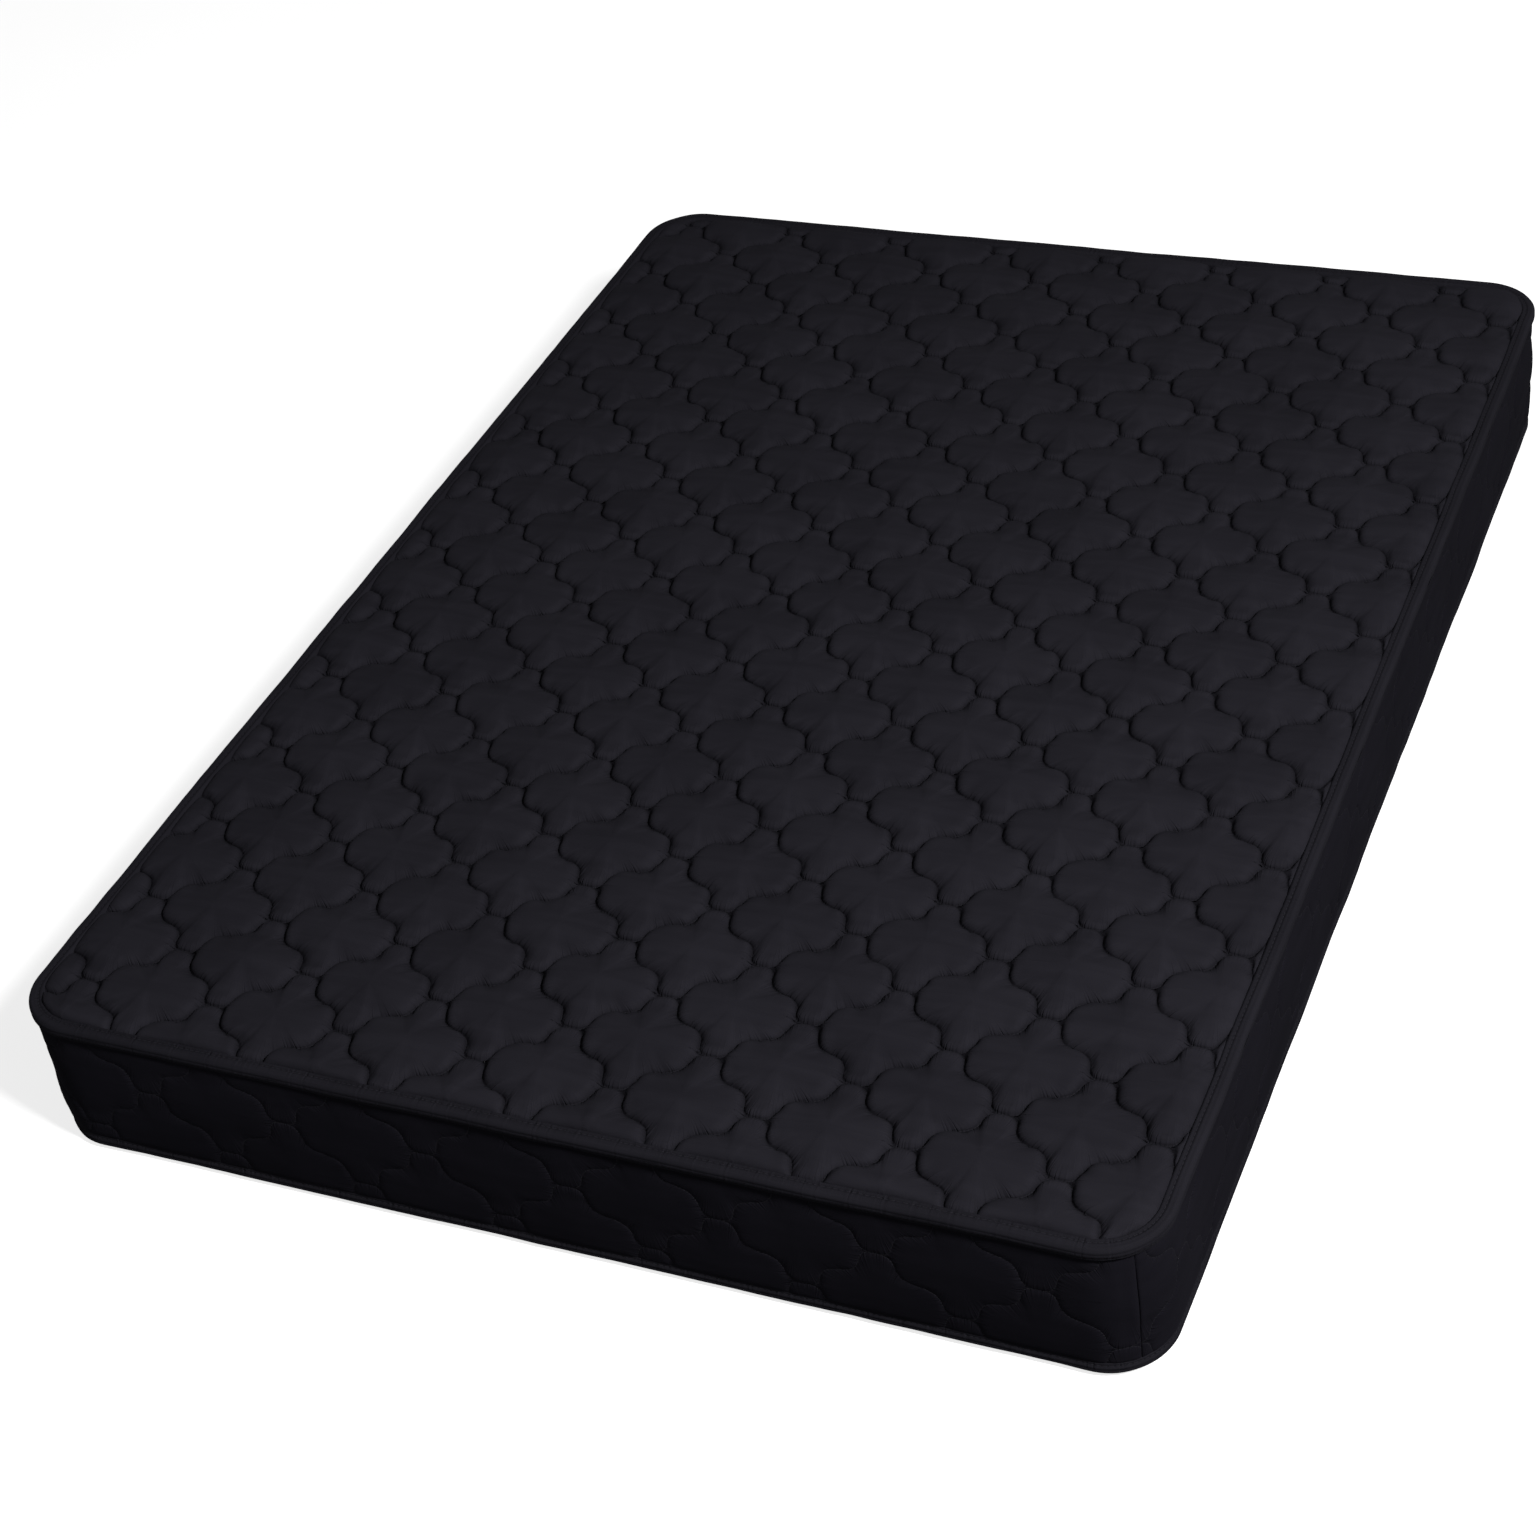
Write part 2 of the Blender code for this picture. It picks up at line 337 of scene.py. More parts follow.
@dataclass(frozen=True)
class ClothFinish:
    """A cloth's colours and surface, with or without a sewn line read from the seam map."""

    name: str
    dark: Colour
    light: Colour
    roughness: tuple[float, float] = (0.80, 0.95)
    sheen: float = 0.0
    sheen_tint: Colour = (1.0, 1.0, 1.0)
    specular: float = 0.30
    broad_scale: float = 6.0
    streak_scale: float = 60.0
    stretch: float = 7.0
    fuzz_scale: float = 900.0
    weave_pitch: float = 0.0008
    weave_height: float = 0.00010
    nap_height: float = 0.00015
    sewn: bool = False
    thread: Colour = (0.03, 0.03, 0.036)
    # Painted shade: how strongly the cloth darkens along a sewn seam, standing in for the shade in the
    # crease
    painted_crease_shade: float = 0.62
    pucker_height: float = 0.0005
    shoulder_height: float = 0.0016
    thread_height: float = 0.0004
    mapped: bool = True

    def build(self, effects: Effects) -> bpy.types.Material:
        """Makes the material.

        Args:
            effects: the shared node groups.

        Returns:
            The material.
        """
        material = bpy.data.materials.new(self.name)
        material.use_nodes = True
        material.diffuse_color = (*self.light, 1.0)
        graph = Graph(material.node_tree)
        shader = graph.tree.nodes["Principled BSDF"]
        place = self.cloth_place(graph)
        nap = graph.node("ShaderNodeGroup", node_tree=effects.nap)
        for socket, value in (
            ("Place", place),
            ("Broad scale", self.broad_scale),
            ("Streak scale", self.streak_scale),
            ("Stretch", self.stretch),
            ("Fuzz scale", self.fuzz_scale),
        ):
            graph.feed(nap.inputs[socket], value)
        weave = graph.node("ShaderNodeGroup", {0: place}, node_tree=effects.weave)
        weave.inputs["Pitch"].default_value = self.weave_pitch
        share = graph.between(nap.outputs["Shade"], 0.35, 0.65, 0.0, 1.0)
        colour = graph.mix(share, self.dark, self.light)
        height = graph.math("MULTIPLY", nap.outputs["Height"], self.nap_height)
        height = graph.math("MULTIPLY_ADD", weave.outputs["Height"], self.weave_height, height)
        if self.sewn:
            colour, height = self.sew(graph, effects, colour, height)
        rough = graph.between(nap.outputs["Shade"], 0.3, 0.7, *self.roughness)
        bump = graph.node("ShaderNodeBump", {"Height": height, "Strength": 1.0, "Distance": 1.0})
        graph.feed(shader.inputs["Base Color"], colour)
        graph.feed(shader.inputs["Roughness"], rough)
        graph.feed(shader.inputs["Normal"], bump.outputs[0])
        shader.inputs["Specular IOR Level"].default_value = self.specular
        shader.inputs["Sheen Weight"].default_value = self.sheen
        shader.inputs["Sheen Roughness"].default_value = 0.45
        shader.inputs["Sheen Tint"].default_value = (*self.sheen_tint, 1.0)
        return material

    def cloth_place(self, graph: Graph) -> bpy.types.NodeSocket:
        """Where on the cloth a point is, in metres.

        Args:
            graph: the material's graph.

        Returns:
            The cloth map's socket, or the object's coordinates on a piece with no map.
        """
        if self.mapped:
            return graph.node("ShaderNodeUVMap", uv_map=CLOTH_MAP).outputs[0]
        return graph.node("ShaderNodeTexCoord").outputs["Object"]

    def sew(self, graph: Graph, effects: Effects, colour: Any, height: Any) -> tuple[Any, Any]:
        """Adds the quilting thread, painted shade along the crease, and its puckers.

        Args:
            graph: the material's graph.
            effects: the shared node groups.
            colour: the cloth's colour.
            height: the cloth's height in metres.

        Returns:
            The colour and the height with the sewn line.
        """
        seam = graph.node("ShaderNodeUVMap", uv_map=SEAM_MAP).outputs[0]
        line = graph.node("ShaderNodeGroup", {0: seam}, node_tree=effects.thread)
        # Painted shade: near the seam the colour mixes towards a quarter of the dark colour, standing
        # in for the shade in the crease
        painted_shade_share = graph.math("MULTIPLY", line.outputs["Painted crease shade"], self.painted_crease_shade)
        shaded = graph.mix(painted_shade_share, colour, tuple(part * 0.25 for part in self.dark))
        coloured = graph.mix(line.outputs["Thread"], shaded, self.thread)
        drawn = graph.math("MULTIPLY_ADD", line.outputs["Pucker"], self.pucker_height, height)
        puffed = graph.math("MULTIPLY_ADD", line.outputs["Shoulder"], self.shoulder_height, drawn)
        raised = graph.math("MULTIPLY_ADD", line.outputs["Thread"], self.thread_height, puffed)
        return coloured, raised


@dataclass(frozen=True)
class FoamFinish:
    """Open-cell foam: a soft pale colour, pitted all over, with painted shade in the pits."""

    name: str
    dark: Colour
    light: Colour
    pore: float = 0.0018

    def build(self) -> bpy.types.Material:
        """Makes the material.

        Returns:
            The material.
        """
        material = bpy.data.materials.new(self.name)
        material.use_nodes = True
        material.diffuse_color = (*self.light, 1.0)
        graph = Graph(material.node_tree)
        shader = graph.tree.nodes["Principled BSDF"]
        place = graph.node("ShaderNodeTexCoord").outputs["Object"]
        pores = graph.node("ShaderNodeTexVoronoi", {"Vector": place, "Scale": 1.0 / self.pore})
        tone = graph.node("ShaderNodeTexNoise", {"Vector": place, "Scale": 9.0, "Detail": 3.0})
        open_share = graph.between(pores.outputs["Distance"], 0.10, 0.55, 0.0, 1.0)
        # Painted shade: the pores are darker as well as lower; the noise adds a random tone
        share = graph.math("MULTIPLY_ADD", tone.outputs[0], 0.4, open_share, clamp=True)
        height = graph.math("MULTIPLY", open_share, self.pore * 0.3)
        bump = graph.node("ShaderNodeBump", {"Height": height, "Strength": 1.0, "Distance": 1.0})
        graph.feed(shader.inputs["Base Color"], graph.mix(share, self.dark, self.light))
        graph.feed(shader.inputs["Roughness"], graph.between(open_share, 0.0, 1.0, 1.0, 0.88))
        graph.feed(shader.inputs["Normal"], bump.outputs[0])
        shader.inputs["Specular IOR Level"].default_value = 0.2
        return material


@dataclass
class Wardrobe:
    """Every finish of the mattress, made once."""

    effects: Effects = field(default_factory=Effects)
    quilted: Any = None
    border: Any = None
    tape: Any = None
    sewing: Any = None
    comfort_foam: Any = None
    rail_foam: Any = None
    felt: Any = None
    nonwoven: Any = None

    def __post_init__(self) -> None:
        """Builds the materials."""
        self.quilted = ClothFinish(
            "quilted_microfibre",
            dark=(0.0200, 0.0190, 0.0250),
            light=(0.0275, 0.0262, 0.0340),
            specular=0.06,
            sheen=0.008,
            sheen_tint=(0.75, 0.74, 0.95),
            sewn=True,
            thread=(0.020, 0.0190, 0.0245),
        ).build(self.effects)
        # Partly painted shade: the border's cloth is somewhat darker than the top's, and its colours
        # are set lower still, about half, for the sides that the light from above reaches less
        self.border = ClothFinish(
            "border_microfibre",
            dark=(0.0100, 0.0093, 0.0136),
            light=(0.0141, 0.0131, 0.0190),
            specular=0.06,
            sheen=0.008,
            sheen_tint=(0.75, 0.74, 0.95),
            sewn=True,
            # Partly painted highlight: the thread is drawn lighter than the cloth, standing in for the
            # light caught by the seams' upward slopes
            thread=(0.0250, 0.0238, 0.0300),
            painted_crease_shade=0.0,
            pucker_height=0.0004,
            shoulder_height=0.0006,
        ).build(self.effects)
        self.tape = ClothFinish(
            "tape_twill",
            dark=(0.0165, 0.0157, 0.0208),
            light=(0.0230, 0.0219, 0.0287),
            roughness=(0.76, 0.90),
            specular=0.07,
            sheen=0.008,
            sewn=True,
            thread=(0.0270, 0.0257, 0.0330),
            # Painted shade along the tape's sewn lines, where the roll is drawn in
            painted_crease_shade=0.6,
            pucker_height=0.0004,
            shoulder_height=0.0004,
            sheen_tint=(0.75, 0.74, 0.95),
            streak_scale=90.0,
            stretch=12.0,
            weave_pitch=0.0012,
            weave_height=0.00018,
        ).build(self.effects)
        self.sewing = ClothFinish(
            "sewing_thread",
            dark=(0.020, 0.019, 0.024),
            light=(0.034, 0.033, 0.040),
            roughness=(0.45, 0.62),
            specular=0.5,
            weave_pitch=0.0006,
            mapped=False,
        ).build(self.effects)
        self.felt = ClothFinish(
            "felt_pad",
            dark=(0.22, 0.23, 0.24),
            light=(0.42, 0.43, 0.44),
            fuzz_scale=500.0,
            nap_height=0.0006,
            mapped=False,
        ).build(self.effects)
        self.nonwoven = ClothFinish(
            "pocket_nonwoven",
            dark=(0.66, 0.66, 0.63),
            light=(0.84, 0.84, 0.82),
            roughness=(0.70, 0.88),
            weave_pitch=0.0016,
            weave_height=0.00025,
            mapped=False,
        ).build(self.effects)
        self.comfort_foam = FoamFinish("comfort_foam", (0.62, 0.56, 0.40), (0.80, 0.75, 0.58)).build()
        self.rail_foam = FoamFinish("rail_foam", (0.50, 0.54, 0.58), (0.68, 0.72, 0.76)).build()


# ---------------------------------------------------------------------------------------------
# Shapes that several pieces share
# ---------------------------------------------------------------------------------------------


@dataclass(frozen=True)
class Rim:
    """The rounded rectangle of the mattress's outer size, measured along from one corner."""

    half_width: float
    half_length: float
    radius: float

    @property
    def straights(self) -> Point2:
        """The lengths of the straight runs along X and along Y."""
        return 2 * (self.half_width - self.radius), 2 * (self.half_length - self.radius)

    @property
    def length(self) -> float:
        """The whole way round."""
        return 2 * sum(self.straights) + math.tau * self.radius

    def at(self, run: float) -> tuple[Vector, Vector]:
        """The point on the rim at a distance along it, and the way out from it.

        Args:
            run: metres along, anticlockwise from the start of the foot end's straight.

        Returns:
            The point, and the unit vector that points out of the mattress, both level.
        """
        run %= self.length
        quarter = math.pi / 2 * self.radius
        for side in range(4):
            straight = self.straights[side % 2]
            heading = side * math.pi / 2
            along = Vector((math.cos(heading), math.sin(heading), 0))
            out = Vector((along.y, -along.x, 0))
            reach = self.half_length if side % 2 == 0 else self.half_width
            if run <= straight:
                return out * reach + along * (run - straight / 2), out
            run -= straight
            if run <= quarter:
                turn = heading - math.pi / 2 + run / self.radius
                normal = Vector((math.cos(turn), math.sin(turn), 0))
                centre = out * (reach - self.radius) + along * (straight / 2)
                return centre + normal * self.radius, normal
            run -= quarter
        return self.at(0.0)

    def corner_nearness(self, run: float) -> float:
        """How near a place is to a corner's middle.

        Args:
            run: metres along the rim.

        Returns:
            1 at the middle of a rounded corner, falling to 0 a corner's length away.
        """
        _, out = self.at(run)
        return min(1.0, 2 * min(abs(out.x), abs(out.y)))

    def outline(self, depth: float, step_count: int = 10) -> list[Point2]:
        """Points round the rim at some depth inside it.

        Args:
            depth: metres inside the rim.
            step_count: steps in each rounded corner.

        Returns:
            The points, anticlockwise.
        """
        points = []
        run = 0.0
        quarter = math.pi / 2 * self.radius
        for side in range(4):
            run += self.straights[side % 2]
            for step in range(step_count + 1):
                place, out = self.at(run + quarter * step / step_count * 0.9999)
                points.append(tuple((place - out * depth).xy))
            run += quarter
        return points


def bisect(bm: bmesh.types.BMesh, place: Vector, normal: Vector, clear: bool = False) -> None:
    """Cuts a mesh with a plane.

    Args:
        bm: the mesh.
        place: a point on the plane.
        normal: the plane's normal.
        clear: whether what lies on the normal's side is removed.
    """
    bmesh.ops.bisect_plane(
        bm,
        geom=bm.verts[:] + bm.edges[:] + bm.faces[:],
        dist=1e-6,
        plane_co=place,
        plane_no=normal,
        clear_outer=clear,
    )


def fold_places() -> list[float]:
    """Where across the bending band a piece is cut, from seat to back."""
    return [FOLD_REACH * (2 * step / FOLD_CUTS - 1) for step in range(FOLD_CUTS + 1)]


def fold_cuts(bm: bmesh.types.BMesh) -> None:
    """Cuts a mesh across the band where the mattress folds, so that it can bend smoothly.

    Args:
        bm: the mesh, in its place on the mattress.
    """
    for x in fold_places():
        bisect(bm, Vector((x, 0, 0)), Vector((1, 0, 0)))


def new_piece(name: str, bm: bmesh.types.BMesh, material: bpy.types.Material) -> bpy.types.Object:
    """Makes a smooth-shaded object at the origin and frees the bmesh.

    Args:
        name: the piece's name.
        bm: its mesh, in the mattress's frame.
        material: its finish.

    Returns:
        The object.
    """
    mesh = bpy.data.meshes.new(name)
    bm.to_mesh(mesh)
    bm.free()
    mesh.materials.append(material)
    mesh.shade_smooth()
    piece = bpy.data.objects.new(name, mesh)
    bpy.context.scene.collection.objects.link(piece)
    return piece


def coordinates(mesh: bpy.types.Mesh) -> np.ndarray:
    """The places of a mesh's vertices.

    Args:
        mesh: the mesh.

    Returns:
        An array with a row for each vertex.
    """
    flat = np.empty(len(mesh.vertices) * 3)
    mesh.vertices.foreach_get("co", flat)
    return flat.reshape(-1, 3)


def bend_across_fold(piece: bpy.types.Object) -> None:
    """Bakes a continuous piece's place into its mesh.

    Args:
        piece: the finished piece.
    """
    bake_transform(piece)


def both_halves(name: str) -> tuple[str, str]:
    """The names of a layer's two CAD nodes."""
    return f"{name}_seat", f"{name}_back"


# ---------------------------------------------------------------------------------------------
# The quilting
# ---------------------------------------------------------------------------------------------


@dataclass(frozen=True)
class Trellis:
    """The quilting's pattern: four-lobed cells, each row half a cell along from the last."""

    across: float = 0.1682
    along: float = 0.1481
    stitches_per_side: int = 30
    # How far the seam swings out of a straight line, as two waves along X and two along Y
    swing: tuple[float, float, float, float] = (0.60, 0.15, 0.75, 0.25)

    def side(self, steps: int) -> list[Point2]:
        """Points along one quarter of a cell's seam, from its right node to its top node.

        Args:
            steps: how many equal steps of seam to make.

        Returns:
            The points, both ends included.
        """
        double_x, single_x, double_y, single_y = self.swing
        t = np.linspace(0.0, 1.0, 801)
        double = np.sin(4 * np.pi * t) / (4 * np.pi)
        single = np.sin(2 * np.pi * t) / (2 * np.pi)
        x = self.across / 2 * (1 - (t + double_x * double - single_x * single))
        y = self.along / 2 * (t - double_y * double - single_y * single)
        run = np.concatenate([[0.0], np.cumsum(np.hypot(np.diff(x), np.diff(y)))])
        even = np.linspace(0.0, run[-1], steps + 1)
        return list(zip(np.interp(even, run, x), np.interp(even, run, y)))

    def outline(self, steps: int) -> list[Point2]:
        """Points round one cell, centred on the origin.

        Args:
            steps: steps in each quarter of the seam.

        Returns:
            The points, anticlockwise from the right node.
        """
        quarter = self.side(steps)
        right_top = quarter[:-1]
        top_left = [(-x, y) for x, y in quarter[::-1]][:-1]
        left_bottom = [(-x, -y) for x, y in quarter][:-1]
        bottom_right = [(x, -y) for x, y in quarter[::-1]][:-1]
        return right_top + top_left + left_bottom + bottom_right

    def centres(self, size: Point2, first: Point2) -> list[Point2]:
        """The middles of the cells that reach onto a sheet centred on the origin.

        Args:
            size: the sheet's width and length.
            first: the middle of one of the cells.

        Returns:
            The cells' middles, row by row.
        """
        found = []
        rows = range(-2 * math.ceil(size[1] / self.along) - 2, 2 * math.ceil(size[1] / self.along) + 3)
        columns = range(-math.ceil(size[0] / self.across) - 2, math.ceil(size[0] / self.across) + 3)
        for row in rows:
            y = first[1] + row * self.along / 2
            for column in columns:
                x = first[0] + (column + row % 2 / 2) * self.across
                inside_x = abs(x) < (size[0] + self.across) / 2
                inside_y = abs(y) < (size[1] + self.along) / 2
                if inside_x and inside_y:
                    found.append((x, y))
        return found


@dataclass
class QuiltCells:
    """Cells of padded cloth sewn down round their edges, as a few variants of one outline."""

    trellis: Trellis
    loft: float = 0.0054
    crispness: float = 0.72
    crown: float = 0.66
    shoulder: float = 0.0105
    steps: int = 20
    variants: int = 6
    # Each ring of the cell's mesh, as its share of the way from the seam to the middle
    rings: tuple[float, ...] = (0.015, 0.035, 0.065, 0.11, 0.17, 0.26, 0.38, 0.54, 0.74, 0.90)
    free_rings: int = 6
    # How far from the seam the stitches still hold the cloth down, so that cells meet exactly
    sewn_reach: float = 0.0008
    # What the cloth starts from: a share of the plain relief, and how far it is rumpled
    start_share: float = 0.5
    rumple: float = 0.0012
    pressure: float = 4.0
    slack: float = 0.035
    seed: int = 11
    meshes: list[bpy.types.Mesh] = field(default_factory=list)

    def build(self) -> None:
        """Makes the flat cell, puffs its variants up and keeps their meshes."""
        flat, ring = self.flat_cell()
        places = coordinates(flat)
        depth = self.seam_distance(places)
        for variant in range(self.variants):
            self.meshes.append(flat.copy())
        for mesh, swollen in zip(self.meshes, self.inflate(flat, places, ring, depth)):
            puffed = self.evened(swollen, places, ring)
            self.shape(mesh, places, puffed, self.settled(puffed[:, 2], depth), depth)

    def flat_cell(self) -> tuple[bpy.types.Mesh, np.ndarray]:
        """One flat cell in rings, each a smaller copy of the seam.

        Returns:
            The mesh, and each vertex's ring, 0 on the seam.
        """
        outline = self.trellis.outline(self.steps)
        bm = bmesh.new()
        bmesh.ops.create_circle(bm, cap_ends=True, segments=len(outline), radius=self.trellis.along)
        bm.faces.ensure_lookup_table()
        middle = bm.faces[0]
        spot = {}
        for index, vertex in enumerate(middle.verts):
            vertex.co = (*outline[index], 0.0)
            spot[vertex] = (0, index)
        for ring, share in enumerate(self.rings, 1):
            bmesh.ops.inset_individual(bm, faces=[middle], thickness=self.loft / 100)
            for vertex in middle.verts:
                outer = next(
                    other
                    for other in (edge.other_vert(vertex) for edge in vertex.link_edges)
                    if spot.get(other, (None, 0))[0] == ring - 1
                )
                index = spot[outer][1]
                spot[vertex] = (ring, index)
                vertex.co = (outline[index][0] * (1 - share), outline[index][1] * (1 - share), 0.0)
        poked = bmesh.ops.poke(bm, faces=[middle])
        spot[poked["verts"][0]] = (len(self.rings) + 1, 0)
        self.map_seam(bm, spot, len(outline))
        mesh = bpy.data.meshes.new("quilt_cell")
        rings = np.array([spot[vertex][0] for vertex in bm.verts])
        bm.to_mesh(mesh)
        bm.free()
        return mesh, rings

    def map_seam(self, bm: bmesh.types.BMesh, spot: dict, count: int) -> None:
        """Writes the seam map: stitches along the seam, and metres from it.

        Args:
            bm: the flat cell.
            spot: each vertex's ring and its place round the ring.
            count: vertices in a ring.
        """
        bm.verts.index_update()
        places = np.array([vertex.co for vertex in bm.verts])
        depth = self.seam_distance(places)
        stitches = self.trellis.stitches_per_side / self.steps
        layer = bm.loops.layers.uv.new(SEAM_MAP)
        bm.loops.layers.uv.new(CLOTH_MAP)
        for face in bm.faces:
            indices = [spot[vertex][1] for vertex in face.verts if spot[vertex][0] <= len(self.rings)]
            wraps = max(indices) - min(indices) > count / 2
            for loop in face.loops:
                index = spot[loop.vert][1]
                if wraps and index < count / 2:
                    index += count
                loop[layer].uv = (index * stitches, depth[loop.vert.index])

    def seam_distance(self, places: np.ndarray) -> np.ndarray:
        """How far points of the cell lie from its seam.

        Args:
            places: the points.

        Returns:
            The distances in metres.
        """
        seam = np.array(self.trellis.outline(10 * self.steps))
        apart = places[:, None, :2] - seam[None, :, :]
        return np.sqrt((apart**2).sum(2).min(1))

    def plain_relief(self, depth: np.ndarray) -> np.ndarray:
        """A puffed cell's heights with no simulation.

        Args:
            depth: each vertex's distance from the seam.

        Returns:
            The heights: steep at the seam and flat on top.
        """
        near = 1 - np.clip(depth / self.shoulder, 0, 1)
        return self.loft * (1 - near**2) + 0.02 * depth

    def inflate(
        self, flat: bpy.types.Mesh, places: np.ndarray, ring: np.ndarray, depth: np.ndarray
    ) -> np.ndarray:
        """Puffs the variants up as slack cloth under pressure, sewn down along their seams.

        Args:
            flat: the flat cell.
            places: its vertices.
            ring: each vertex's ring.
            depth: each vertex's distance from the seam.

        Returns:
            The puffed vertices of every variant.
        """
        spacing = 1.5 * self.trellis.across
        bm = bmesh.new()
        for variant in range(self.variants):
            shifted = flat.copy()
            shifted.transform(Matrix.Translation((variant * spacing, 0, 0)))
            bm.from_mesh(shifted)
            bpy.data.meshes.remove(shifted)
        for index, vertex in enumerate(bm.verts):
            local = index % len(places)
            if ring[local] > 0:
                uneven = noise.noise(Vector((vertex.co.x * 45, vertex.co.y * 45, self.seed)))
                plain = self.plain_relief(depth[local : local + 1])[0]
                vertex.co.z = self.start_share * plain + self.rumple * uneven
        sewn = [index for index in range(len(bm.verts)) if ring[index % len(places)] == 0]
        mesh = bpy.data.meshes.new("puffing_cloth")
        bm.to_mesh(mesh)
        bm.free()
        cloth = bpy.data.objects.new("puffing_cloth", mesh)
        bpy.context.scene.collection.objects.link(cloth)
        cloth.vertex_groups.new(name="sewn").add(sewn, 1.0, "REPLACE")
        self.add_cloth(cloth)
        for step in range(1, 21):
            bpy.context.scene.frame_set(step)
        puffed = coordinates(cloth.evaluated_get(bpy.context.evaluated_depsgraph_get()).data)
        puffed = puffed.reshape(self.variants, len(places), 3)
        puffed[:, :, 0] -= spacing * np.arange(self.variants)[:, None]
        bpy.data.objects.remove(cloth)
        bpy.data.meshes.remove(mesh)
        bpy.context.scene.frame_set(1)
        return puffed

    def add_cloth(self, cloth: bpy.types.Object) -> None:
        """Sets the cloth that the cells are cut from.

        Args:
            cloth: the object that holds every variant.
        """
        modifier = cloth.modifiers.new("Cloth", "CLOTH")
        settings = modifier.settings
        settings.quality = 8
        settings.mass = 0.15
        settings.tension_stiffness = 20
        settings.compression_stiffness = 20
        settings.shear_stiffness = 8
        settings.bending_stiffness = 0.3
        settings.use_pressure = True
        settings.uniform_pressure_force = self.pressure
        settings.vertex_group_mass = "sewn"
        settings.pin_stiffness = 1
        settings.shrink_min = -self.slack
        settings.effector_weights.gravity = 0
        modifier.collision_settings.use_collision = False

    def evened(self, swollen: np.ndarray, places: np.ndarray, ring: np.ndarray) -> np.ndarray:
        """Evens out the middle of a puffed cell, where the mesh's spokes draw the cloth to a star.

        Args:
            swollen: the simulated vertices.
            places: the flat vertices.
            ring: each vertex's ring.

        Returns:
            The vertices, left as they are near the seam and level in the middle.
        """
        puffed = swollen.copy()
        inner = len(self.rings)
        for index in range(self.free_rings, inner + 2):
            share = min((index - self.free_rings + 1) / (inner - self.free_rings + 1), 1.0)
            on_ring = ring == index
            level = swollen[ring == min(index, inner), 2].mean()
            puffed[on_ring, 2] += share * (level - puffed[on_ring, 2])
            puffed[on_ring, :2] += share * (places[on_ring, :2] - puffed[on_ring, :2])
        return puffed

    def settled(self, heights: np.ndarray, depth: np.ndarray) -> np.ndarray:
        """Holds puffed cloth down to the padding's loft, steep at the seam and flatter on top.

        Args:
            heights: the simulated heights.
            depth: each vertex's distance from the seam.

        Returns:
            The heights.
        """
        soft = self.loft * np.tanh(2.0 * heights / self.loft)
        crisp = self.plain_relief(depth)
        mixed = self.crispness * crisp + (1 - self.crispness) * soft + self.crown * heights
        return np.maximum(mixed, 0.0) * np.clip(depth / self.sewn_reach, 0, 1)

    def shape(
        self,
        mesh: bpy.types.Mesh,
        places: np.ndarray,
        puffed: np.ndarray,
        heights: np.ndarray,
        depth: np.ndarray | None = None,
    ) -> None:
        """Moves a variant's vertices to their puffed places.

        Args:
            mesh: the variant.
            places: the flat vertices.
            puffed: the simulated vertices, or the flat ones.
            heights: the heights to give them.
            depth: each vertex's distance from the seam, which limits how far it slides.
        """
        slid = places.copy()
        if depth is not None:
            slide = puffed[:, :2] - places[:, :2]
            far = np.hypot(slide[:, 0], slide[:, 1])
            allowed = np.minimum(0.6 * far, 0.3 * depth)
            slid[:, :2] += slide * (allowed / np.maximum(far, 1e-9))[:, None]
        slid[:, 2] = heights
        mesh.vertices.foreach_set("co", slid.ravel())


